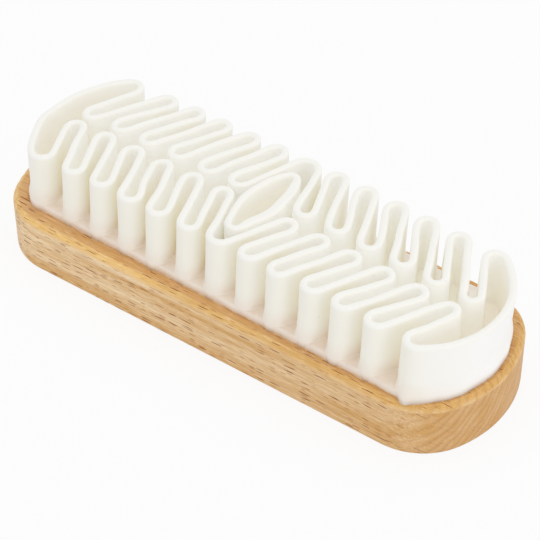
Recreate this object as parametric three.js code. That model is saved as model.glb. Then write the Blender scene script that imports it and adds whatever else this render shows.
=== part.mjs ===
// Crepe-rubber brush for suede and nubuck leather: a beech block that carries a glued rubber pad.
// The pad is a thin sheet with one long strip standing on edge, folded into two rows of bends,
// and a pointed loop in the middle. The brush lies on its wooden back, rubber side up.
// Millimetres and degrees, +Z up, +X along the block. The origin is the middle of the underside.

import * as THREE from 'three';

// Wooden block.
const BLOCK_LENGTH = 130;
const BLOCK_WIDTH = 43.5;
const BLOCK_HEIGHT = 13.7;
const BLOCK_CORNER_RADIUS = 15.6;
const BLOCK_END_BULGE = 17;
const BLOCK_RIM_CHAMFER = 1.25;
const BLOCK_BACK_CHAMFER = 0.5;

// Place of the pad on the block. It was glued on by hand, a little off the middle and turned.
const PAD_END_MARGIN = 2.85;
const PAD_SIDE_MARGIN = 3;
const PAD_SHIFT_X = 0.75;
const PAD_SHIFT_Y = 0.2;
const PAD_TURN = -1.35;

// Glue film and rubber sheet.
const GLUE_THICKNESS = 0.25;
const GLUE_SQUEEZE_OUT = 0.1;
const SHEET_THICKNESS = 1.75;
const SHEET_LIP = 0.25;

// Folded strip. Gaps are clear of rubber, radii and steps are on the middle of the strip.
const WALL_THICKNESS = 1.7;
const WALL_HEIGHT = 14.4;
const CREST_BEVEL = 0.45;
const CREST_END_DROP = 1.6;
const FOLD_GAP = 2.1;
const PITCH_EASE = 0.55;
const ROW_GAP = 1.3;
const CENTRE_BEND_RADIUS = 2.6;
const CORNER_BEND_RADIUS = 2.4;
const CORNER_STEP = 10.5;
const END_BULGE = 9.65;

// Pointed loop in the middle, over its outer faces.
const LOOP_LENGTH = 23.2;
const LOOP_WIDTH = 9.6;
const LOOP_END_RADIUS = 1.8;
const LOOP_GAP = 1.4;

// Fineness of the round stretches: the most that a straight facet may leave its arc.
const FACET_ERROR = 0.06;
const MERGE_DISTANCE = 0.01;

const DEGREE = Math.PI / 180;
const HALF_TURN = Math.PI;
const HALF_WALL = WALL_THICKNESS / 2;

// Reach of the strip's middle line from the pad's centre, along and across the pad.
const endReach = BLOCK_LENGTH / 2 - PAD_END_MARGIN - SHEET_LIP - HALF_WALL;
const outerReach = BLOCK_WIDTH / 2 - PAD_SIDE_MARGIN - SHEET_LIP - HALF_WALL;
const innerReach = ROW_GAP / 2 + HALF_WALL;

// Steps between the bends. A longer block gets more bends of about the same pitch.
const bendRadius = FOLD_GAP / 2 + HALF_WALL;
const cornerX = endReach - END_BULGE;
const firstInnerX = LOOP_WIDTH / 2 + LOOP_GAP + HALF_WALL + bendRadius;
const lastOuterX = cornerX - CORNER_STEP;
const foldPitch = 2 * (WALL_THICKNESS + FOLD_GAP) + PITCH_EASE;
const bendsPerSide = Math.max(1, Math.round(lastOuterX / foldPitch));
const outerPitch = lastOuterX / bendsPerSide;
const innerPitch = (cornerX - firstInnerX) / bendsPerSide;

// A bend is a circle that a path turns round, counter-clockwise for turn 1, clockwise for turn -1.
function bend(x, y, radius, turn) {
  return { centre: new THREE.Vector2(x, y), radius, turn };
}

function halfTurned(one) {
  return bend(-one.centre.x, -one.centre.y, one.radius, one.turn);
}

// Radius of the arc that bulges past two like bends and runs smoothly into both of them.
function bulgeRadius(bulge, halfSpread, radius) {
  return (bulge ** 2 + halfSpread ** 2 - radius ** 2) / (2 * (bulge - radius));
}

// Heading of the straight run that leaves one bend and enters the next.
function runHeading(from, to) {
  const step = to.centre.clone().sub(from.centre);
  const offset = to.turn * to.radius - from.turn * from.radius;
  return step.angle() - Math.asin(THREE.MathUtils.clamp(offset / step.length(), -1, 1));
}

// Closed path round a ring of bends, as stations with a place and a heading.
function closedPath(bends) {
  const stations = [];
  const addStation = (station) => {
    const last = stations.at(-1);
    if (!last || Math.hypot(station.x - last.x, station.y - last.y) > MERGE_DISTANCE) {
      stations.push(station);
    }
  };
  bends.forEach((here, i) => {
    const heading = runHeading(bends.at(i - 1), here);
    const leaving = runHeading(here, bends[(i + 1) % bends.length]);
    const sweep = THREE.MathUtils.euclideanModulo((leaving - heading) * here.turn, 2 * HALF_TURN);
    const facet = 2 * Math.acos(1 - FACET_ERROR / (here.radius + HALF_WALL));
    const steps = Math.ceil(sweep / facet);
    for (let step = 0; step <= steps; step += 1) {
      const now = heading + here.turn * sweep * step / steps;
      const spoke = now - here.turn * HALF_TURN / 2;
      addStation({
        x: here.centre.x + here.radius * Math.cos(spoke),
        y: here.centre.y + here.radius * Math.sin(spoke),
        heading: now,
      });
    }
  });
  const [first] = stations;
  const last = stations.at(-1);
  if (Math.hypot(first.x - last.x, first.y - last.y) <= MERGE_DISTANCE) {
    stations.pop();
  }
  return stations;
}

// Outline parallel to a path, moved to the left of its heading, which is inward on a round trip.
function parallelOutline(stations, inward) {
  return stations.map(({ x, y, heading }) => new THREE.Vector2(
    x - inward * Math.sin(heading),
    y + inward * Math.cos(heading),
  ));
}

function solidGeometry(positions, triangles) {
  const geometry = new THREE.BufferGeometry();
  geometry.setAttribute('position', new THREE.Float32BufferAttribute(positions, 3));
  geometry.setIndex(triangles);
  geometry.computeVertexNormals();
  return geometry;
}

// Solid between flat outlines with as many points each, stacked from the bottom to the top.
function stackedSolid(levels) {
  const count = levels[0].outline.length;
  const positions = levels.flatMap(({ z, outline }) => outline.flatMap((point) => [point.x, point.y, z]));
  const triangles = [];
  for (let level = 0; level + 1 < levels.length; level += 1) {
    for (let i = 0; i < count; i += 1) {
      const low = level * count + i;
      const lowNext = level * count + (i + 1) % count;
      triangles.push(low, lowNext, lowNext + count, low, lowNext + count, low + count);
    }
  }
  const topStart = (levels.length - 1) * count;
  for (const [a, b, c] of THREE.ShapeUtils.triangulateShape(levels[0].outline, [])) {
    triangles.push(a, c, b);
  }
  for (const [a, b, c] of THREE.ShapeUtils.triangulateShape(levels.at(-1).outline, [])) {
    triangles.push(topStart + a, topStart + b, topStart + c);
  }
  return solidGeometry(positions, triangles);
}

// The crest of the pad is a little lower towards both ends.
function crestHeight(x) {
  return WALL_HEIGHT - CREST_END_DROP * (x / endReach) ** 2;
}

// Strip standing on edge along a closed path, with both edges of its crest broken.
function stripOnEdge(stations) {
  const positions = [];
  const triangles = [];
  let corners = 0;
  for (const { x, y, heading } of stations) {
    const top = crestHeight(x);
    const section = [
      [-HALF_WALL, 0],
      [-HALF_WALL, top - CREST_BEVEL],
      [-HALF_WALL + CREST_BEVEL, top],
      [HALF_WALL - CREST_BEVEL, top],
      [HALF_WALL, top - CREST_BEVEL],
      [HALF_WALL, 0],
    ];
    corners = section.length;
    for (const [across, z] of section) {
      positions.push(x - across * Math.sin(heading), y + across * Math.cos(heading), z);
    }
  }
  stations.forEach((station, i) => {
    const here = i * corners;
    const next = ((i + 1) % stations.length) * corners;
    for (let a = 0; a < corners; a += 1) {
      const b = (a + 1) % corners;
      triangles.push(here + a, next + a, here + b, here + b, next + a, next + b);
    }
  });
  return solidGeometry(positions, triangles);
}

// Bends of the near row from the left corner to the right one: outer and inner bends in turn.
function nearRowBends() {
  const bends = [];
  for (let k = -bendsPerSide - 1; k <= bendsPerSide + 1; k += 1) {
    const isCorner = Math.abs(k) > bendsPerSide;
    const outerX = isCorner ? Math.sign(k) * cornerX : k * outerPitch;
    const plainRadius = k === 0 ? CENTRE_BEND_RADIUS : bendRadius;
    const radius = isCorner ? CORNER_BEND_RADIUS : plainRadius;
    bends.push(bend(outerX, radius - outerReach, radius, 1));
    if (k <= bendsPerSide) {
      const innerX = k < 0 ? (k + 1) * innerPitch - firstInnerX : k * innerPitch + firstInnerX;
      bends.push(bend(innerX, -innerReach - bendRadius, bendRadius, -1));
    }
  }
  return bends;
}

function rightEndBend() {
  const radius = bulgeRadius(END_BULGE, outerReach - CORNER_BEND_RADIUS, CORNER_BEND_RADIUS);
  return bend(endReach - radius, 0, radius, 1);
}

// The folded strip runs along the near row, round the right end, back along the far row and
// round the left end. The far half is the near half turned round.
function foldedStripPath() {
  const half = [...nearRowBends(), rightEndBend()];
  return closedPath([...half, ...half.map(halfTurned)]);
}

// Outer rim of the folded strip, which the sheet and the glue follow.
function padRimPath() {
  const cornerY = CORNER_BEND_RADIUS - outerReach;
  const half = [
    bend(-cornerX, cornerY, CORNER_BEND_RADIUS, 1),
    bend(cornerX, cornerY, CORNER_BEND_RADIUS, 1),
    rightEndBend(),
  ];
  return closedPath([...half, ...half.map(halfTurned)]);
}

function centreLoopPath() {
  const bulge = LOOP_WIDTH / 2 - HALF_WALL;
  const tipY = LOOP_LENGTH / 2 - HALF_WALL - LOOP_END_RADIUS;
  const sideRadius = bulgeRadius(bulge, tipY, LOOP_END_RADIUS);
  const half = [
    bend(bulge - sideRadius, 0, sideRadius, 1),
    bend(0, tipY, LOOP_END_RADIUS, 1),
  ];
  return closedPath([...half, ...half.map(halfTurned)]);
}

function blockRimPath() {
  const cornerY = BLOCK_WIDTH / 2 - BLOCK_CORNER_RADIUS;
  const endRadius = bulgeRadius(BLOCK_END_BULGE, cornerY, BLOCK_CORNER_RADIUS);
  const halfLength = BLOCK_LENGTH / 2;
  const half = [
    bend(BLOCK_END_BULGE - halfLength, -cornerY, BLOCK_CORNER_RADIUS, 1),
    bend(halfLength - BLOCK_END_BULGE, -cornerY, BLOCK_CORNER_RADIUS, 1),
    bend(halfLength - endRadius, 0, endRadius, 1),
  ];
  return closedPath([...half, ...half.map(halfTurned)]);
}

// Block with a broken edge at its back and a wider chamfer round the side that holds the pad.
function blockGeometry() {
  const rim = blockRimPath();
  return stackedSolid([
    { z: 0, outline: parallelOutline(rim, BLOCK_BACK_CHAMFER) },
    { z: BLOCK_BACK_CHAMFER, outline: parallelOutline(rim, 0) },
    { z: BLOCK_HEIGHT - BLOCK_RIM_CHAMFER, outline: parallelOutline(rim, 0) },
    { z: BLOCK_HEIGHT, outline: parallelOutline(rim, BLOCK_RIM_CHAMFER) },
  ]);
}

function glueGeometry() {
  const outline = parallelOutline(padRimPath(), -HALF_WALL - SHEET_LIP - GLUE_SQUEEZE_OUT);
  return stackedSolid([
    { z: 0, outline },
    { z: GLUE_THICKNESS, outline },
  ]);
}

// Sheet under the strip. Its upper edge is broken, and the flat top ends at the strip's outer face.
function sheetGeometry() {
  const rim = padRimPath();
  const edge = parallelOutline(rim, -HALF_WALL - SHEET_LIP);
  return stackedSolid([
    { z: 0, outline: edge },
    { z: SHEET_THICKNESS - SHEET_LIP, outline: edge },
    { z: SHEET_THICKNESS, outline: parallelOutline(rim, -HALF_WALL) },
  ]);
}

function material(color, roughness) {
  return new THREE.MeshStandardMaterial({ color, roughness, metalness: 0 });
}

function piece(name, geometry, finish, z) {
  const mesh = new THREE.Mesh(geometry, finish);
  mesh.name = name;
  mesh.position.z = z;
  return mesh;
}

const sheetZ = GLUE_THICKNESS;
const stripZ = sheetZ + SHEET_THICKNESS;

const pad = new THREE.Group();
pad.position.set(PAD_SHIFT_X, PAD_SHIFT_Y, BLOCK_HEIGHT);
pad.rotation.z = PAD_TURN * DEGREE;
pad.add(
  piece('glue_film', glueGeometry(), material(0xe6d3b8, 0.4), 0),
  piece('rubber_sheet', sheetGeometry(), material(0xe9e1d2, 0.55), sheetZ),
  piece('folded_rubber_strip', stripOnEdge(foldedStripPath()), material(0xf1efe6, 0.55), stripZ),
  piece('rubber_centre_loop', stripOnEdge(centreLoopPath()), material(0xf1efe6, 0.55), stripZ),
);

const brush = new THREE.Group();
brush.add(piece('wood_block', blockGeometry(), material(0xd6a878, 0.6), 0), pad);

export default brush;
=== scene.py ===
"""Crepe-rubber brush for suede, lying on its wooden back: a beech block, a film of glue and a moulded
white rubber pad whose upright wall winds to and fro round a pointed loop in the middle.

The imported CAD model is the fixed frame. Lengths are millimetres until a mesh is made, then metres.
"""

import math
from dataclasses import dataclass

import bpy
import numpy as np
from mathutils import Euler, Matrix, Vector


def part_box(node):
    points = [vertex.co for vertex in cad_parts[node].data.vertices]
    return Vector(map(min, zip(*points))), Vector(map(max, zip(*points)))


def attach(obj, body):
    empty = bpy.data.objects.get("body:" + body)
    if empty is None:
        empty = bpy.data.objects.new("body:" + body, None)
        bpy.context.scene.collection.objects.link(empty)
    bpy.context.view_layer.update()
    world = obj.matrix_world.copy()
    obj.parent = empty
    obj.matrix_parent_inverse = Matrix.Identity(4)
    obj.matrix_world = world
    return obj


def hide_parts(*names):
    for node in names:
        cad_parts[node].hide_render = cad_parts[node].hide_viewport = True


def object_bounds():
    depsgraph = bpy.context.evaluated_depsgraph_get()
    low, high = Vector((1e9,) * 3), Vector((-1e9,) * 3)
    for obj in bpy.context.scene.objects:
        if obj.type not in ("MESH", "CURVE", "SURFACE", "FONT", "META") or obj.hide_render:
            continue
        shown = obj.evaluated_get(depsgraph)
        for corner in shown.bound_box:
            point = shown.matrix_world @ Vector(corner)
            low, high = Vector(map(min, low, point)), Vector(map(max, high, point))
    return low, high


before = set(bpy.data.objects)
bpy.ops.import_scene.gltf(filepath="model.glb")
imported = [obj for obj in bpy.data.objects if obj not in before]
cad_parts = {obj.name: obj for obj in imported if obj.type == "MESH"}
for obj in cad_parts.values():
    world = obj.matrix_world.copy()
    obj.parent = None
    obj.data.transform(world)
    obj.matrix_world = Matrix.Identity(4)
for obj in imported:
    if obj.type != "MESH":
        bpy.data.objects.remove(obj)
cad_low, cad_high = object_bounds()

MM = 0.001
TURN = 2 * math.pi


def node_size(node):
    """Length, width and height of a CAD node, in millimetres."""
    low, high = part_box(node)
    return (high - low) / MM


# Block.
BLOCK_LENGTH, BLOCK_WIDTH, BLOCK_HEIGHT = node_size("wood_block")
BLOCK_CORNER_RADIUS = 15.6
BLOCK_END_BULGE = 17.0
RIM_CHAMFER = 1.25
BACK_ROUND = 0.5

# Layers of the pad, from the block up to the crest of the wall.
GLUE_THICKNESS = node_size("glue_film").z
SHEET_THICKNESS = node_size("rubber_sheet").z
SHEET_Z = BLOCK_HEIGHT + GLUE_THICKNESS
WALL_Z = SHEET_Z + SHEET_THICKNESS
WALL_HEIGHT = cad_high.z / MM - WALL_Z
CREST_END_DROP = 1.6
SHEET_LIP = 0.25
HALF_WALL = 0.85

# Place of the pad, which was glued on by hand, a little off the block's middle and turned.
PAD_SHIFT = (0.75, 0.2)
PAD_TURN = math.radians(-1.35)
PAD_END_MARGIN = 2.85
PAD_SIDE_MARGIN = 3.0

# Folds. Reaches and radii are on the middle line of the wall, gaps are clear of rubber. Bends at the rim are
# counted from the one in the middle, and the last on each side is the corner.
FOLD_GAP = 2.6
BEND_RADIUS = FOLD_GAP / 2 + HALF_WALL
CORNER_BEND_RADIUS = 2.4
BENDS_PER_SIDE = 5
CORNER = BENDS_PER_SIDE + 1
END_BULGE = 9.65
LEFT_END_LESS = 0.3
END_REACH = BLOCK_LENGTH / 2 - PAD_END_MARGIN - SHEET_LIP - HALF_WALL
OUTER_REACH = BLOCK_WIDTH / 2 - PAD_SIDE_MARGIN - SHEET_LIP - HALF_WALL
CORNER_X = END_REACH - END_BULGE

# Pointed loop, over its outer faces, and its gap to the folds beside it.
LOOP_LENGTH = 24.6
LOOP_WIDTH = 10.0
LOOP_END_RADIUS = 1.8
LOOP_GAP = 0.95
FIRST_INNER_X = LOOP_WIDTH / 2 + LOOP_GAP + HALF_WALL + BEND_RADIUS


# Paths

@dataclass
class Bend:
    """A circle that a path turns round, counter-clockwise for turn 1 and clockwise for turn -1."""
    x: float
    y: float
    radius: float
    turn: int = 1


def run_heading(here, there):
    """Heading of the straight run that leaves one bend and enters the next."""
    dx, dy = there.x - here.x, there.y - here.y
    offset = there.turn * there.radius - here.turn * here.radius
    return math.atan2(dy, dx) - math.asin(max(-1.0, min(1.0, offset / math.hypot(dx, dy))))


def arc_points(before, here, after, step):
    """Points on a bend, as complex numbers, from where a path enters it to where the path leaves."""
    start, leave = run_heading(before, here), run_heading(here, after)
    sweep = (leave - start) * here.turn % TURN
    count = max(2, math.ceil(sweep * here.radius / step))
    spokes = start + here.turn * (sweep * np.arange(count + 1) / count - math.pi / 2)
    return complex(here.x, here.y) + here.radius * np.exp(1j * spokes)


def closed_path(bends, step, soften=0.0):
    """Evenly spaced points on the closed line round a ring of bends: x, y and heading.
    soften is the length over which the change from bend to run is eased."""
    arcs = [
        arc_points(bends[i - 1], here, bends[(i + 1) % len(bends)], step)
        for i, here in enumerate(bends)
    ]
    line = np.concatenate(arcs + [arcs[0][:1]])
    along = np.concatenate([[0], np.cumsum(np.abs(np.diff(line)))])
    length = along[-1]
    count = int(round(length / step))
    at = np.arange(count) * length / count
    even = np.interp(at, along, line.real) + 1j * np.interp(at, along, line.imag)
    waves = np.fft.fftfreq(count) * count * TURN / length
    spectrum = np.fft.fft(even)

    def blurred(reach):
        return spectrum * np.exp(-(reach * waves) ** 2 / 2)

    place = np.fft.ifft(blurred(soften))
    slope = np.fft.ifft(blurred(max(soften, step)) * 1j * waves)
    return place.real, place.imag, np.angle(slope)


def moved_left(path, distance):
    """Outline beside a path, to the left of its heading, which is inward on a round trip."""
    x, y, heading = path
    return x - distance * np.sin(heading), y + distance * np.cos(heading)


@dataclass
class Wave:
    """Unevenness along a closed path: about how high it is, and the shortest and longest of its waves."""
    size: float
    shortest: float
    longest: float

    def along(self, path, seed):
        draw = np.random.default_rng(seed)
        line = path[0] + 1j * path[1]
        length = np.abs(line - np.roll(line, 1)).sum()
        angle = np.arange(len(line)) / len(line) * TURN
        fewest = max(1, round(length / self.longest))
        most = max(2, round(length / self.shortest))
        waves = np.arange(fewest, most + 1)
        heights = draw.normal(size=len(waves))
        phases = draw.uniform(0, TURN, len(waves))
        total = sum(h * np.sin(n * angle + p) for h, n, p in zip(heights, waves, phases))
        return self.size * total / math.sqrt(len(waves) / 2)


FOLD_SEED = 5
FOLD_SCATTER = 0.07


@dataclass
class Row:
    """One row of folds at the foot, from the left end to the right. Pitches and shifts run along the pad, a
    reach runs across it from its middle line, and a pair is for the left half and the right half."""
    side: int
    outer_pitch: float
    outer_shift: float
    corner_shift: tuple
    inner_pitch: float
    inner_shift: float
    inner_reach: tuple
    last_inner_shift: tuple
    centre_radius: float
    centre_shift: float

    def bends(self):
        """Outer and inner bends in turn, from one corner of the pad to the next."""
        draw = np.random.default_rng(FOLD_SEED + self.side)
        made = []
        for k in range(-CORNER, CORNER + 1):
            made.append(self.outer_bend(k, draw))
            if k < CORNER:
                made.append(self.inner_bend(k, draw))
        return made

    def outer_bend(self, k, draw):
        """Bend k at the rim, counted from the one in the middle."""
        x = k * self.outer_pitch + self.outer_shift
        radius = BEND_RADIUS
        if k == 0:
            x += self.centre_shift
            radius = self.centre_radius
        elif abs(k) == CORNER:
            x = math.copysign(CORNER_X, k) + self.corner_shift[int(k > 0)]
            radius = CORNER_BEND_RADIUS
        x, reach = (x, OUTER_REACH) + FOLD_SCATTER * draw.normal(size=2)
        return Bend(x, self.side * (reach - radius), radius)

    def inner_bend(self, k, draw):
        """The bend by the middle line that follows outer bend k."""
        half = int(k >= 0)
        x = k * self.inner_pitch + FIRST_INNER_X if half else (k + 1) * self.inner_pitch - FIRST_INNER_X
        if k in (-CORNER, CORNER - 1):
            x += self.last_inner_shift[half]
        x, reach = (x + self.inner_shift, self.inner_reach[half]) + FOLD_SCATTER * draw.normal(size=2)
        return Bend(x, self.side * (reach + BEND_RADIUS), BEND_RADIUS, -1)


FRONT_ROW = Row(
    side=-1,
    outer_pitch=8.36,
    outer_shift=-0.15,
    corner_shift=(-0.3, -0.1),
    inner_pitch=8.58,
    inner_shift=0.15,
    inner_reach=(1.7, 1.7),
    last_inner_shift=(-0.8, -0.2),
    centre_radius=2.6,
    centre_shift=0.0,
)
BACK_ROW = Row(
    side=1,
    outer_pitch=8.24,
    outer_shift=0.1,
    corner_shift=(-0.4, -0.4),
    inner_pitch=8.68,
    inner_shift=0.25,
    inner_reach=(0.5, 0.95),
    last_inner_shift=(-0.2, 0.4),
    centre_radius=3.3,
    centre_shift=0.5,
)


def bulged(first, second, bulge):
    """The bend that bulges past two like bends and runs smoothly into both of them."""
    dx, dy = second.x - first.x, second.y - first.y
    spread = math.hypot(dx, dy)
    reach = bulge - first.radius
    back = (spread ** 2 / 4 - reach ** 2) / (2 * reach)
    radius = math.hypot(back, spread / 2) + first.radius
    x, y = (first.x + second.x) / 2, (first.y + second.y) / 2
    return Bend(x - back * dy / spread, y + back * dx / spread, radius)


def ring(near, far, left_bulge, right_bulge):
    """The closed ring of bends from the near row and the far row, each from the left to the right."""
    right = bulged(near[-1], far[-1], right_bulge)
    left = bulged(far[0], near[0], left_bulge)
    return near + [right] + far[::-1] + [left]


def wall_bends():
    return ring(FRONT_ROW.bends(), BACK_ROW.bends(), END_BULGE - LEFT_END_LESS, END_BULGE)


def pad_rim_bends():
    """The wall's outline without its folds: only the corners and the ends."""
    near, far = FRONT_ROW.bends(), BACK_ROW.bends()
    return ring([near[0], near[-1]], [far[0], far[-1]], END_BULGE - LEFT_END_LESS, END_BULGE)


def loop_bends():
    bulge = LOOP_WIDTH / 2 - HALF_WALL
    tip = LOOP_LENGTH / 2 - HALF_WALL - LOOP_END_RADIUS
    near, far = Bend(0, -tip, LOOP_END_RADIUS), Bend(0, tip, LOOP_END_RADIUS)
    return [bulged(near, far, bulge), far, bulged(far, near, bulge), near]


def block_rim_bends():
    x = BLOCK_LENGTH / 2 - BLOCK_END_BULGE
    y = BLOCK_WIDTH / 2 - BLOCK_CORNER_RADIUS
    near, far = [
        [Bend(-x, side * y, BLOCK_CORNER_RADIUS), Bend(x, side * y, BLOCK_CORNER_RADIUS)]
        for side in (-1, 1)
    ]
    return ring(near, far, BLOCK_END_BULGE, BLOCK_END_BULGE)


# Meshes

PATH_STEP = 0.5
ROUND_RINGS = 7


def mesh_piece(name, points, faces, material, replaced):
    """A smooth-shaded piece made from points in millimetres, which stands for a CAD node."""
    mesh = bpy.data.meshes.new(name)
    mesh.from_pydata([tuple(p) for p in np.asarray(points, float) * MM], [], faces)
    mesh.validate()
    mesh.update()
    mesh.polygons.foreach_set("use_smooth", [True] * len(mesh.polygons))
    mesh.materials.append(material)
    piece = bpy.data.objects.new(name, mesh)
    bpy.context.scene.collection.objects.link(piece)
    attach(piece, "root")
    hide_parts(replaced)
    return piece


def keep_shares(piece, name, values):
    """Keep a number for each point of a piece, for its material."""
    kept = piece.data.attributes.new(name, "FLOAT", "POINT")
    kept.data.foreach_set("value", np.asarray(values, np.float32))


def ramp(value, start, end):
    """0 up to start, 1 from end on, and even between them."""
    return np.clip((value - start) / (end - start), 0, 1)


def eased(value, start, end):
    """0 up to start, 1 from end on, and a smooth rise between them."""
    share = ramp(value, start, end)
    return share * share * (3 - 2 * share)


def stacked(path, levels):
    """Closed solid from rings (inset, z) round a path, from the underside's middle to the top's.
    inset and z may each be one number or one for each point of the path."""
    count = len(path[0])
    rings = []
    for inset, z in levels:
        x, y = moved_left(path, inset)
        rings.append(np.stack([x, y, np.broadcast_to(z, count)], 1))
    faces = []
    for low in range(0, (len(rings) - 1) * count, count):
        for i in range(count):
            j = (i + 1) % count
            faces.append((low + i, low + j, low + count + j, low + count + i))
    faces.append(tuple(range(count))[::-1])
    last = (len(rings) - 1) * count
    faces.append(tuple(range(last, last + count)))
    return np.concatenate(rings), faces


def on_block(points):
    """Pad points, in the pad's own place and turn, moved to where the pad sits on the block."""
    c, s = math.cos(PAD_TURN), math.sin(PAD_TURN)
    x, y, z = points.T
    return np.stack([c * x - s * y + PAD_SHIFT[0], s * x + c * y + PAD_SHIFT[1], z], 1)


# Mesh of the block

BLOCK_SEED = 3
CHAMFER_WAVE = Wave(0.05, 8, 80)
CHAMFER_NICKS = Wave(0.03, 2.5, 10)
EDGE_SOFTNESS = 0.22
# Soft edge between an upright side and a chamfer of 45 degrees: inset and rise from the sharp edge, in shares
# of the softness. It serves again, turned over, between the chamfer and the top.
EDGE_CURVE = [(0.0, -1.0), (0.13, -0.42), (0.42, 0.02), (0.9, 0.62)]
# Rings beside the round edges, which keep the flat faces flat: their distances from the edge.
UNDERSIDE_RING = 1.2
SIDE_RING_LOW, SIDE_RING_HIGH = 0.3, 0.45
TOP_RINGS = (0.6, 3.0)
SIDE_RINGS = 9
FLAT_INSET = 9.0


def block_mesh():
    path = closed_path(block_rim_bends(), PATH_STEP)
    chamfer = RIM_CHAMFER + CHAMFER_WAVE.along(path, BLOCK_SEED) + CHAMFER_NICKS.along(path, BLOCK_SEED + 1)
    top, back, soft = BLOCK_HEIGHT, BACK_ROUND, EDGE_SOFTNESS
    levels = [(FLAT_INSET, 0.0), (back + UNDERSIDE_RING, 0.0)]
    levels += [
        (back - back * math.sin(a), back - back * math.cos(a))
        for a in np.linspace(0, math.pi / 2, ROUND_RINGS)
    ]
    side_low, side_high = back + SIDE_RING_LOW, top - RIM_CHAMFER - SIDE_RING_HIGH
    levels += [(0.0, z) for z in np.linspace(side_low, side_high, SIDE_RINGS)]
    levels += [(a * soft, top - chamfer + b * soft) for a, b in EDGE_CURVE]
    levels += [(chamfer / 2, top - chamfer / 2)]
    levels += [(chamfer - b * soft, top - a * soft) for a, b in reversed(EDGE_CURVE)]
    levels += [(RIM_CHAMFER + inset, top) for inset in TOP_RINGS]
    levels += [(FLAT_INSET, top)]
    return stacked(path, levels)


# Meshes of the glue film and the sheet

PAD_FLAT_INSET = 1.0
GLUE_SEED = 11
GLUE_EDGE = Wave(0.06, 4, 40)
GLUE_SQUEEZE_OUT = 0.05
GLUE_SINK = 0.03
GLUE_BEAD_HEIGHT = 0.11
GLUE_BEAD_INSET = 0.12
SHEET_SEED = 21
SHEET_EDGE = Wave(0.05, 5, 60)
SHEET_ROUND = 0.55
SHEET_TOP_RING = 0.3
SHEET_FOOT_INSET = 0.12
SHEET_FOOT_HEIGHT = 0.15


def glue_mesh():
    """The film, sunk a little into the wood and the rubber, with an uneven bead round its edge."""
    path = closed_path(pad_rim_bends(), PATH_STEP)
    out = HALF_WALL + SHEET_LIP + GLUE_SQUEEZE_OUT + GLUE_EDGE.along(path, GLUE_SEED)
    low, high = BLOCK_HEIGHT - GLUE_SINK, SHEET_Z + GLUE_SINK
    return stacked(path, [
        (PAD_FLAT_INSET, low),
        (-out, low),
        (-out, BLOCK_HEIGHT + GLUE_BEAD_HEIGHT),
        (GLUE_BEAD_INSET - out, SHEET_Z),
        (-HALF_WALL, high),
        (PAD_FLAT_INSET, high),
    ])


def sheet_mesh():
    """The sheet, with a round upper edge that stands out past the wall."""
    path = closed_path(pad_rim_bends(), PATH_STEP)
    edge = SHEET_EDGE.along(path, SHEET_SEED) - HALF_WALL - SHEET_LIP
    top, soft = WALL_Z, SHEET_ROUND
    levels = [
        (PAD_FLAT_INSET, SHEET_Z),
        (edge + SHEET_FOOT_INSET, SHEET_Z),
        (edge, SHEET_Z + SHEET_FOOT_HEIGHT),
    ]
    levels += [
        (edge + soft - soft * math.cos(a), top - soft + soft * math.sin(a))
        for a in np.linspace(0, math.pi / 2, ROUND_RINGS)
    ]
    levels += [(edge + soft + SHEET_TOP_RING, top), (PAD_FLAT_INSET, top)]
    return stacked(path, levels)


# Meshes of the folded wall and the loop

CREST_WAVE = Wave(0.08, 12, 120)
SWAY = Wave(0.1, 10, 60)
SWAY_POWER = 1.5
BELLY = Wave(0.06, 6, 30)
RAGGED_FOOT = Wave(0.05, 5, 30)
CREST_LEAN = (0.35, 0.35)
DRAFT = 0.08

# Section of the wall: foot, side and crest.
FOOT_SINK = 0.2
FOOT_FILLET = 0.5
FOOT_SPREAD = 0.4
FOOT_ANGLES = (22, 45, 68)
SIDE_SHARES = (0.09, 0.17, 0.28, 0.45, 0.7)
CREST_RING = 0.35
CREST_ROUND = 0.7
CREST_FULLNESS = 1.08
CREST_ANGLES = (0, 18, 36, 54, 70)
HALF_CREST_FLAT = 0.08

# Along the rim the wall's outer face covers the edge of the sheet: in full up to one distance from the rim's
# line, and no more from another on. For that it stands out at the foot, which fades out upward.
RIM_STEP = 0.1
RIM_FULL, RIM_NONE = 0.5, 1.3
LIP_COVER = SHEET_LIP + 0.3
FLUSH_HEIGHT = 4.0

# Drops of rubber that ran out at the foot: place on the pad, how far they stand out, and half their width.
DROP_HEIGHT = 1.6
DROP_Y = -17.6
FOOT_DROPS = [
    (51.8, DROP_Y, 0.7, 0.7),
    (57.5, -12.5, 0.3, 1.5),
    (-40.3, DROP_Y, 0.25, 0.7),
    (-22.6, DROP_Y, 0.3, 0.7),
    (3.2, DROP_Y, 0.3, 0.8),
    (19.3, DROP_Y, 0.35, 0.7),
    (35.6, DROP_Y, 0.3, 0.8),
]

# The ends lean out from before the corners on. One flank of the loop is thicker, but not at its tips.
LEAN_START, LEAN_FULL = CORNER_X - 2, CORNER_X + 4
FLANK_FULL_X = 1.5
FLANK_END = LOOP_LENGTH / 2 - 0.9
FLANK_FADE = 4.0

# Cream tone, as shares: on outer faces away from the middle line, less on the far row and at the ends, on the
# crest, and on inner faces at the ends. It is painted warm shade, except on the crest, where it is a plain
# tone.
CREAM_SHADE_START, CREAM_SHADE_FULL = 6.0, 13.0
FAR_CREAM_SHADE = 0.5
END_CREAM_SHADE = 0.35
END_SHADE_RUN = 5.0
CREST_CREAM = 0.55
INNER_CREAM_SHADE = 0.3
INNER_SHADE_START, INNER_SHADE_FULL = CORNER_X - 3, CORNER_X + 2


@dataclass
class SectionRow:
    """A line along a strip: -1 for the outer side or 1 for the inner side, half the thickness there, share of
    the spread at the foot, share of the crest's height, and rise over that."""
    hand: int
    thick: float
    spread: float
    share: float
    rise: float

    def is_sunk(self):
        return self.share == 0 and self.rise < 0

    def on_crest(self):
        return self.share == 1 and self.rise >= -CREST_ROUND


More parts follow.
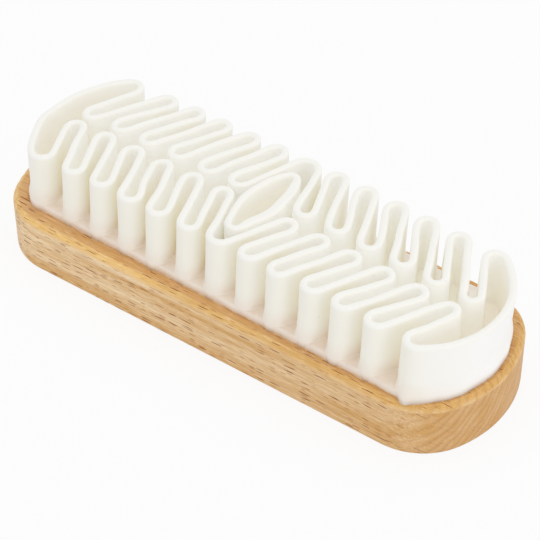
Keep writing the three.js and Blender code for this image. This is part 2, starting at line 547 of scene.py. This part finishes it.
@dataclass
class Strip:
    """A closed strip of rubber that stands on edge on the sheet: its bends, the seed of its unevenness, the
    length over which bends ease into straight runs, how far the crest leans out at the pad's ends, how much
    thicker the flank towards +X is, and the share of cream tone, which is painted warm shade, on its outer
    faces."""
    bends: list
    seed: int
    soften: float
    end_lean: float
    flank: float
    cream_and_shade: float


def side_rows(hand):
    """One side of the section, from the foot to the crest."""
    foot = HALF_WALL + DRAFT
    rows = [(foot, 1, 0, -FOOT_SINK), (foot, 1, 0, 0.0)]
    rows += [
        (foot, 1 - math.sin(a), 0, FOOT_FILLET * (1 - math.cos(a)))
        for a in np.radians(FOOT_ANGLES)
    ]
    rows += [(foot, 0, 0, FOOT_FILLET)]
    rows += [(HALF_WALL + DRAFT * (1 - share), 0, share, 0.0) for share in SIDE_SHARES]
    rows += [(HALF_WALL, 0, 1, -CREST_ROUND - CREST_RING)]
    rows += [
        (HALF_WALL - CREST_ROUND * CREST_FULLNESS * (1 - math.cos(a)), 0, 1, CREST_ROUND * (math.sin(a) - 1))
        for a in np.radians(CREST_ANGLES)
    ]
    rows += [(HALF_CREST_FLAT, 0, 1, 0.0)]
    return [SectionRow(hand, *row) for row in rows]


def gap(path, other):
    """Distance from each point of a path to the nearest point of another one."""
    there = other[0] + 1j * other[1]
    return np.array([np.abs(there - point).min() for point in path[0] + 1j * path[1]])


def crest_height(x):
    """Height of the wall over the sheet, which is lower towards both ends."""
    return WALL_HEIGHT - CREST_END_DROP * (x / END_REACH) ** 2


def foot_drops(x, y):
    return sum(
        size * np.exp(-((x - drop_x) ** 2 + (y - drop_y) ** 2) / width ** 2)
        for drop_x, drop_y, size, width in FOOT_DROPS
    )


def strip_points(strip, path, rows):
    """Points of a strip, for each point of its path and each row of its section."""
    x, y, heading = path
    at_rim = eased(gap(path, closed_path(pad_rim_bends(), RIM_STEP)), RIM_NONE, RIM_FULL)
    crest = crest_height(x) + CREST_WAVE.along(path, strip.seed)
    sway = SWAY.along(path, strip.seed + 1)
    belly = BELLY.along(path, strip.seed + 2)
    ragged = RAGGED_FOOT.along(path, strip.seed + 3) + foot_drops(x, y)
    outward = strip.end_lean * ramp(np.abs(x), LEAN_START, LEAN_FULL)
    flank = strip.flank * eased(x, 0, FLANK_FULL_X) * eased(np.abs(y), FLANK_END, FLANK_END - FLANK_FADE)
    lines = []
    for row in rows:
        z = row.share * crest + row.rise
        up = ramp(z, 0, WALL_HEIGHT)
        across = row.thick + row.spread * FOOT_SPREAD
        if row.hand > 0:
            across = across + flank
        else:
            cover = LIP_COVER * ramp(z, FLUSH_HEIGHT, 0) ** 2 + ragged * ramp(z, DROP_HEIGHT, 0)
            across = -across * (1 - at_rim) - (row.thick + cover) * at_rim
            if row.is_sunk():
                z = z - at_rim * (SHEET_THICKNESS + GLUE_THICKNESS)
        side = across + sway * up ** SWAY_POWER + belly * np.sin(np.pi * up) - outward * up
        line_x, line_y = moved_left(path, side)
        lines.append(np.stack([line_x + CREST_LEAN[0] * up, line_y + CREST_LEAN[1] * up, WALL_Z + z], 1))
    return np.stack(lines, 1)


def strip_cream_and_shade(strip, path, rows):
    """Share of cream tone for each point of the path and each row of the section: painted warm shade on the
    sides, and a plain warm tone on the crest.
    """
    x, y, _ = path
    rim = eased(-y, CREAM_SHADE_START, CREAM_SHADE_FULL) + FAR_CREAM_SHADE * eased(y, CREAM_SHADE_START, CREAM_SHADE_FULL)
    middle = eased(np.abs(x), CORNER_X + END_SHADE_RUN, CORNER_X)
    outer = strip.cream_and_shade * rim * (END_CREAM_SHADE + (1 - END_CREAM_SHADE) * middle)
    ends = eased(np.abs(x), INNER_SHADE_START, INNER_SHADE_FULL)
    inner = INNER_CREAM_SHADE * (1 - strip.cream_and_shade + ends)
    crest = np.full(len(x), CREST_CREAM)
    by_side = {-1: outer, 1: inner}
    return np.stack([crest if row.on_crest() else by_side[row.hand] for row in rows], 1)


def strip_mesh(strip):
    """Points and faces of a strip, and the share of cream at each point."""
    path = closed_path(strip.bends, PATH_STEP, strip.soften)
    rows = side_rows(-1) + side_rows(1)[::-1]
    count, size = len(path[0]), len(rows)
    faces = []
    for i in range(count):
        here, there = i * size, (i + 1) % count * size
        for j in range(size):
            k = (j + 1) % size
            faces.append((here + j, there + j, there + k, here + k))
    points = strip_points(strip, path, rows).reshape(-1, 3)
    return points, faces, strip_cream_and_shade(strip, path, rows).ravel()


# Materials

WHITE = (1.0, 1.0, 1.0, 1.0)


def srgb(red, green, blue):
    """Colour as seen on a screen, 0 to 255, to the linear numbers that a shader takes."""
    def linear(c):
        c /= 255
        return c / 12.92 if c <= 0.04045 else ((c + 0.055) / 1.055) ** 2.4
    return linear(red), linear(green), linear(blue), 1.0


class Graph:
    """The nodes of a material or a world. Most calls add one node and return the socket that it gives."""

    def __init__(self, owner, output):
        owner.use_nodes = True
        self.owner = owner
        self.tree = owner.node_tree
        self.tree.nodes.clear()
        self.output = self.tree.nodes.new(output)

    def node(self, kind, inputs, **settings):
        made = self.tree.nodes.new(kind)
        for key, value in settings.items():
            setattr(made, key, value)
        for key, value in inputs.items():
            if isinstance(value, bpy.types.NodeSocket):
                self.tree.links.new(value, made.inputs[key])
            else:
                made.inputs[key].default_value = value
        return made

    def place(self):
        """Place on the piece, in millimetres."""
        found = self.node("ShaderNodeTexCoord", {}).outputs["Object"]
        return self.scaled(found, (1 / MM, 1 / MM, 1 / MM))

    def facing(self):
        """X, Y and Z of the surface's direction on the piece."""
        return self.split(self.node("ShaderNodeTexCoord", {}).outputs["Normal"])

    def attribute(self, name):
        return self.node("ShaderNodeAttribute", {}, attribute_name=name).outputs["Fac"]

    def scaled(self, vector, by):
        return self.node("ShaderNodeVectorMath", {0: vector, 1: by}, operation="MULTIPLY").outputs[0]

    def added(self, vector, other):
        return self.node("ShaderNodeVectorMath", {0: vector, 1: other}, operation="ADD").outputs[0]

    def split(self, vector):
        return self.node("ShaderNodeSeparateXYZ", {0: vector}).outputs

    def joined(self, x, y, z=0.0):
        return self.node("ShaderNodeCombineXYZ", {0: x, 1: y, 2: z}).outputs[0]

    def math(self, operation, first, second=0.0, clamp=False):
        inputs = {0: first, 1: second}
        return self.node("ShaderNodeMath", inputs, operation=operation, use_clamp=clamp).outputs[0]

    def times(self, first, second):
        return self.math("MULTIPLY", first, second)

    def noise(self, vector, scale=1.0, detail=2.0, roughness=0.5, output="Fac"):
        inputs = {"Vector": vector, "Scale": scale, "Detail": detail, "Roughness": roughness}
        return self.node("ShaderNodeTexNoise", inputs).outputs[output]

    def cells(self, vector, scale=1.0, dimensions="3D"):
        """Distance to the nearest cell's point, and three random numbers for each cell."""
        inputs = {"Vector": vector, "Scale": scale}
        made = self.node("ShaderNodeTexVoronoi", inputs, voronoi_dimensions=dimensions, feature="F1")
        return made.outputs["Distance"], self.split(made.outputs["Color"])

    def span(self, value, low, high, out_low=0.0, out_high=1.0, curve="SMOOTHSTEP"):
        """The span from low to high, mapped to the one from out_low to out_high and held there."""
        inputs = {"Value": value, "From Min": low, "From Max": high, "To Min": out_low, "To Max": out_high}
        return self.node("ShaderNodeMapRange", inputs, interpolation_type=curve).outputs["Result"]

    def mix(self, share, first, second):
        return self.node("ShaderNodeMix", {0: share, 6: first, 7: second}, data_type="RGBA").outputs[2]

    def tinted(self, base, colour, mask, most):
        """The base with a colour over it, up to a share of most where the mask is 1."""
        return self.mix(self.times(mask, most), base, colour)

    def bump(self, height, distance, strength):
        inputs = {"Height": height, "Distance": distance * MM, "Strength": strength}
        return self.node("ShaderNodeBump", inputs).outputs[0]

    def show(self, shader):
        self.tree.links.new(shader, self.output.inputs["Surface"])
        return self.owner

    def finish(self, colour, rough, bump, specular):
        inputs = {"Base Color": colour, "Roughness": rough, "Normal": bump, "Specular IOR Level": specular}
        return self.show(self.node("ShaderNodeBsdfPrincipled", inputs).outputs[0])


def material_graph(name):
    return Graph(bpy.data.materials.new(name), "ShaderNodeOutputMaterial")


# Beech. The heart of the tree is a line along X, beside the block and over it. The growth rings go round it.
HEART_Y, HEART_Z = -60.0, 45.0
MEAN_RADIUS = 65.0
RINGS_PER_MM = 0.6
RING_WANDER = 1.2
# Waves per millimetre along the block, out from the heart and round it.
TONE_WAVES = (0.014, 0.3, 0.2)
FIBRE_WAVES = (0.2, 3.4, 3.4)
PORE_WAVES = (0.9, 7.0, 7.0)
# The grain drifts off a straight line across the block.
DRIFT_WAVES = (0.012, 0.06, 0.06)
DRIFT_REACH = 5.0
# Ray flecks: cells per millimetre along and across the grain, share of cells with a fleck, its size in cells,
# its strength and its colour. The least of them has a share of that size.
FLECKS = [
    ((0.36, 3.8, 1.0), 0.1, 0.45, 0.8, srgb(168, 92, 26)),
    ((0.25, 3.2, 1.0), 0.1, 0.5, 0.95, srgb(142, 66, 10)),
]
LEAST_FLECK = 0.4
FLECK_EDGE = 0.16
# Painted shade: the wood gets darker and deeper in tone from one place along the block to another.
SHADE_START_X, SHADE_FULL_X = -20.0, 55.0


def drifted(g, place):
    """X, Y and Z of a place, moved as the grain drifts."""
    drift = g.added(g.noise(g.scaled(place, DRIFT_WAVES), output="Color"), (-0.5, -0.5, -0.5))
    return g.split(g.added(place, g.scaled(drift, (0, DRIFT_REACH, DRIFT_REACH))))


def from_heart(g, y, z):
    """Distance out from the tree's heart and round it."""
    dy, dz = g.math("SUBTRACT", y, HEART_Y), g.math("SUBTRACT", z, HEART_Z)
    radius = g.math("SQRT", g.math("ADD", g.times(dy, dy), g.times(dz, dz)))
    return radius, g.times(g.math("ARCTAN2", dz, dy), MEAN_RADIUS)


def late_wood(g, radius, tone, end_grain):
    """Mask of the dark edge of each growth ring, which shows most on the end grain."""
    ring_at = g.math("ADD", g.times(radius, RINGS_PER_MM), g.times(tone, RING_WANDER))
    part = g.math("FRACT", ring_at)
    edge = g.times(g.span(part, 0.4, 0.9), g.span(part, 1.0, 0.94))
    return g.times(edge, g.span(end_grain, 0, 1, 0.16, 0.4))


def fleck_mask(g, place, cells, share, size):
    """Mask of short dashes: an oval round the point of some of the cells."""
    far, (chance, length, _) = g.cells(g.scaled(place, cells), dimensions="2D")
    reach = g.span(length, 0.0, 1.0, LEAST_FLECK * size, size, curve="LINEAR")
    inside = g.math("SUBTRACT", 1.0, g.math("DIVIDE", far, reach), clamp=True)
    return g.times(g.math("LESS_THAN", chance, share), g.span(inside, 0.0, FLECK_EDGE))


def beech_material():
    g = material_graph("sanded_beech")
    place = g.place()
    x, y, z = drifted(g, place)
    radius, around = from_heart(g, y, z)
    grain = g.joined(x, radius, around)
    facing = g.facing()
    end_grain = g.span(g.math("ABSOLUTE", facing[0]), 0.25, 0.9)
    upward = g.span(facing[2], 0.3, 0.95)
    tone = g.noise(g.scaled(grain, TONE_WAVES), detail=3, roughness=0.55)
    fibre = g.noise(g.scaled(grain, FIBRE_WAVES), detail=4, roughness=0.7)
    pore = g.noise(g.scaled(grain, PORE_WAVES))
    calmer = g.span(end_grain, 0, 1, 1.0, 0.4)
    dark_fibre = g.times(g.span(fibre, 0.42, 0.68, 0.0, 0.45), calmer)
    light_fibre = g.times(g.span(fibre, 0.48, 0.33, 0.0, 0.4), calmer)

    wood = g.mix(g.span(tone, 0.34, 0.66), srgb(226, 180, 114), srgb(252, 226, 185))
    wood = g.tinted(wood, srgb(225, 173, 108), upward, 0.75)
    wood = g.tinted(wood, srgb(218, 176, 128), end_grain, 0.55)
    # Painted shading: the chamfer is tinted a deeper orange for how the light falls on its slope.
    wood = g.tinted(wood, srgb(250, 205, 126), g.attribute("rim"), 0.85)
    # Painted shade: darker and deeper towards +X.
    shade_along_x = g.span(x, SHADE_START_X, SHADE_FULL_X, 0.0, 0.5, curve="LINEAR")
    wood = g.mix(shade_along_x, wood, srgb(208, 152, 70))
    wood = g.mix(late_wood(g, radius, tone, end_grain), wood, srgb(180, 130, 80))
    wood = g.mix(dark_fibre, wood, srgb(196, 143, 80))
    wood = g.mix(light_fibre, wood, srgb(254, 236, 204))
    wood = g.mix(g.span(pore, 0.55, 0.75, 0.0, 0.25), wood, srgb(168, 120, 72))
    fleck_place = g.joined(x, g.math("SUBTRACT", z, g.math("ABSOLUTE", y)))
    fainter = g.span(end_grain, 0, 1, 1.0, 0.15)
    for cells, share, size, strength, colour in FLECKS:
        fleck = g.times(fleck_mask(g, fleck_place, cells, share, size), fainter)
        wood = g.tinted(wood, colour, fleck, strength)
    # Painted highlight: a lighter line along the chamfer's lower edge, broken up by noise.
    highlight_breakup = g.span(g.noise(place, scale=0.25, detail=3, roughness=0.6), 0.35, 0.6, 0.15, 0.75)
    wood = g.mix(g.times(g.attribute("edge_highlight"), highlight_breakup), wood, srgb(238, 202, 150))

    rough = g.span(fibre, 0.2, 0.8, 0.42, 0.58)
    bump = g.bump(g.times(fibre, 0.35), distance=0.05, strength=0.5)
    return g.finish(wood, rough, bump, specular=0.3)


# Rubber. Its white is so pale that light goes to and fro between the folds, as in the milky real one.
# Painted glow of the wood through the rubber: warmer up to a height over the sheet, and pinker low on the
# outer faces.
WOOD_GLOW_HEIGHT = 1.6
FOOT_GLOW_LOW, FOOT_GLOW_HIGH = WALL_Z - 0.5, WALL_Z + 4.5
SPECKS_PER_MM = 0.42


def speck_mask(g, place):
    """Mask of a few small dark specks."""
    far, (_, chance, _) = g.cells(place, scale=SPECKS_PER_MM)
    return g.times(g.span(chance, 0.9, 0.95, curve="LINEAR"), g.span(far, 0.09, 0.03))


def rubber_material():
    g = material_graph("milky_rubber")
    place = g.place()
    z = g.split(place)[2]
    cream_and_shade = g.attribute("outer")
    cloud = g.span(g.noise(place, scale=0.12, detail=3, roughness=0.55), 0.3, 0.7, 0.0, 0.5)
    low = g.span(z, WALL_Z + WOOD_GLOW_HEIGHT, WALL_Z)
    foot = g.times(cream_and_shade, g.span(z, FOOT_GLOW_HIGH, FOOT_GLOW_LOW))
    white = g.mix(cloud, srgb(254.92, 254.72, 253.25), srgb(254.85, 254.5, 252.6))
    # Painted glow: warmer near the foot.
    white = g.tinted(white, srgb(252, 248, 243), low, 0.4)
    # Cream by the kept shares: painted warm shade on the sides, and a plain warm tone on the crest.
    white = g.tinted(white, srgb(250, 247.5, 235), cream_and_shade, 0.7)
    # Painted shade and glow: darker and pinker low on the outer faces, for the wood's light through the
    # rubber.
    white = g.tinted(white, srgb(245, 234, 222), foot, 0.8)
    white = g.tinted(white, srgb(150, 140, 120), speck_mask(g, place), 0.35)
    bump = g.bump(g.noise(place, scale=2.2, detail=4, roughness=0.6), distance=0.05, strength=0.1)
    return g.finish(white, 0.46, bump, specular=0.05)


# Painted glow and shade of the sheet's edge, a pinkish tone: where it starts and is full, and its share at
# the back and the ends.
FRONT_EDGE_START, FRONT_EDGE_FULL = -12.0, -15.5
BACK_EDGE_START, BACK_EDGE_FULL = 14.0, 17.0
BACK_EDGE_SHARE = 0.6
END_EDGE_START, END_EDGE_FULL = 50.0, 60.0
END_EDGE_SHARE = 0.4


def sheet_material():
    """White between the folds, and pinkish at the edge, where the wood glows through: painted glow and shade.
    """
    g = material_graph("milky_rubber_sheet")
    place = g.place()
    x, y, _ = g.split(place)
    cloud = g.noise(place, scale=0.25, detail=3, roughness=0.55)
    front = g.span(y, FRONT_EDGE_START, FRONT_EDGE_FULL)
    back = g.span(y, BACK_EDGE_START, BACK_EDGE_FULL, 0.0, BACK_EDGE_SHARE)
    ends = g.span(g.math("ABSOLUTE", x), END_EDGE_START, END_EDGE_FULL, 0.0, END_EDGE_SHARE)
    edge = g.math("MAXIMUM", g.math("MAXIMUM", front, back), ends)
    wood_glow_pink = g.mix(g.span(cloud, 0.3, 0.7), srgb(239, 224, 209), srgb(245, 233, 221))
    white = g.mix(edge, srgb(254.6, 253.8, 250.5), wood_glow_pink)
    return g.finish(white, 0.3, g.bump(cloud, distance=0.1, strength=0.1), specular=0.1)


def glue_material():
    g = material_graph("dried_glue")
    cloud = g.noise(g.place(), scale=0.6, detail=3, roughness=0.55)
    amber = g.mix(g.span(cloud, 0.3, 0.7), srgb(214, 176, 128), srgb(232, 205, 168))
    return g.finish(amber, 0.3, g.bump(cloud, distance=0.1, strength=0.4), specular=0.5)


# Pieces

CHAMFER_FOOT = BLOCK_HEIGHT - RIM_CHAMFER
# Bands of the block's edge with a painted tone, shading on the chamfer and a highlight line under it: from
# and to which height, and how they fade out.
EDGE_BANDS = {
    "rim": (CHAMFER_FOOT + 0.05, BLOCK_HEIGHT - 0.14),
    "edge_highlight": (CHAMFER_FOOT - 0.2, CHAMFER_FOOT + 0.12),
}
BAND_FADE = 0.12


def make_block():
    points, faces = block_mesh()
    block = mesh_piece("beech_block", points, faces, beech_material(), "wood_block")
    z = points[:, 2]
    for name, (low, high) in EDGE_BANDS.items():
        keep_shares(block, name, ramp(z, low - BAND_FADE, low) * ramp(z, high + BAND_FADE, high))


def make_pad():
    points, faces = glue_mesh()
    mesh_piece("dried_glue_film", on_block(points), faces, glue_material(), "glue_film")
    points, faces = sheet_mesh()
    mesh_piece("rubber_base_sheet", on_block(points), faces, sheet_material(), "rubber_sheet")
    rubber = rubber_material()
    wall = Strip(wall_bends(), seed=31, soften=0.8, end_lean=0.3, flank=0.0, cream_and_shade=1.0)
    loop = Strip(loop_bends(), seed=41, soften=0.5, end_lean=0.0, flank=0.8, cream_and_shade=0.2)
    for strip, name, node in (
        (wall, "rubber_folded_wall", "folded_rubber_strip"),
        (loop, "rubber_middle_loop", "rubber_centre_loop"),
    ):
        points, faces, cream_and_shade = strip_mesh(strip)
        piece = mesh_piece(name, on_block(points), faces, rubber, node)
        keep_shares(piece, "outer", cream_and_shade)


# Studio, in metres and watts

FLOOR_HALF = 4.0
FLOOR_COLOUR = (0.9, 0.9, 0.9, 1.0)
FLOOR_WHITE_SHARE = 0.88
SKY_STRENGTH = 0.86
LAMP_TARGET = Vector((0, 0, 0.01))
# Name, place, size and power of each lamp.
LAMPS = [
    ("top_light", (0.1, 0.15, 1.3), 1.0, 1.0),
    ("side_light", (1.0, -0.25, 0.28), 0.5, 1.0),
]
LIGHT_BOUNCES = 64

# Camera of the photograph, found from the outline of the block: place in millimetres and turn in degrees.
# The half pixel, as a share of 540 pixels, is the step from a pixel's corner to its middle.
CAMERA_PLACE = (196.114, -259.984, 296.598)
CAMERA_TURN = (48.5332, 0.3226, 36.2837)
CAMERA_LENS = 127.27
CAMERA_SENSOR = 36.0
CAMERA_CLIP = (0.01, 20.0)
HALF_PIXEL = 0.5 / 540


def floor_material():
    """White to the camera and in reflections, with a share of matte that takes the object's shadow."""
    g = material_graph("white_floor")
    ray = g.node("ShaderNodeLightPath", {}).outputs
    mirrored = g.math("ADD", ray["Is Glossy Ray"], ray["Is Transmission Ray"])
    seen = g.math("ADD", ray["Is Camera Ray"], mirrored, clamp=True)
    matte = g.node("ShaderNodeBsdfDiffuse", {"Color": FLOOR_COLOUR}).outputs[0]
    glow = g.node("ShaderNodeEmission", {"Color": WHITE, "Strength": 1.0}).outputs[0]
    share = g.times(seen, FLOOR_WHITE_SHARE)
    return g.show(g.node("ShaderNodeMixShader", {0: share, 1: matte, 2: glow}).outputs[0])


def studio_world():
    g = Graph(bpy.data.worlds.new("studio"), "ShaderNodeOutputWorld")
    seen = g.node("ShaderNodeLightPath", {}).outputs["Is Camera Ray"]
    sky = g.node("ShaderNodeBackground", {"Color": WHITE, "Strength": SKY_STRENGTH}).outputs[0]
    backdrop = g.node("ShaderNodeBackground", {"Color": WHITE, "Strength": 1.0}).outputs[0]
    return g.show(g.node("ShaderNodeMixShader", {0: seen, 1: sky, 2: backdrop}).outputs[0])


def make_floor():
    corners = [(-1, -1), (1, -1), (1, 1), (-1, 1)]
    mesh = bpy.data.meshes.new("floor")
    mesh.from_pydata([(FLOOR_HALF * x, FLOOR_HALF * y, 0) for x, y in corners], [], [(0, 1, 2, 3)])
    mesh.materials.append(floor_material())
    floor = bpy.data.objects.new("floor", mesh)
    bpy.context.scene.collection.objects.link(floor)


def make_lamp(name, place, size, power):
    lamp = bpy.data.lights.new(name, "AREA")
    lamp.shape = "SQUARE"
    lamp.size = size
    lamp.energy = power
    shown = bpy.data.objects.new(name, lamp)
    shown.location = place
    shown.rotation_mode = "QUATERNION"
    shown.rotation_quaternion = (LAMP_TARGET - Vector(place)).to_track_quat("-Z", "Y")
    bpy.context.scene.collection.objects.link(shown)


def make_camera():
    data = bpy.data.cameras.new("photo_camera")
    data.sensor_width = CAMERA_SENSOR
    data.lens = CAMERA_LENS
    data.clip_start, data.clip_end = CAMERA_CLIP
    data.shift_x, data.shift_y = -HALF_PIXEL, HALF_PIXEL
    camera = bpy.data.objects.new("photo_camera", data)
    camera.location = Vector(CAMERA_PLACE) * MM
    camera.rotation_euler = Euler([math.radians(a) for a in CAMERA_TURN], "XYZ")
    bpy.context.scene.collection.objects.link(camera)
    bpy.context.scene.camera = camera


make_block()
make_pad()
make_floor()
bpy.context.scene.world = studio_world()
for lamp in LAMPS:
    make_lamp(*lamp)
make_camera()
bpy.context.scene.view_settings.view_transform = "Standard"
for kind in ("diffuse_bounces", "glossy_bounces", "max_bounces"):
    setattr(bpy.context.scene.cycles, kind, LIGHT_BOUNCES)
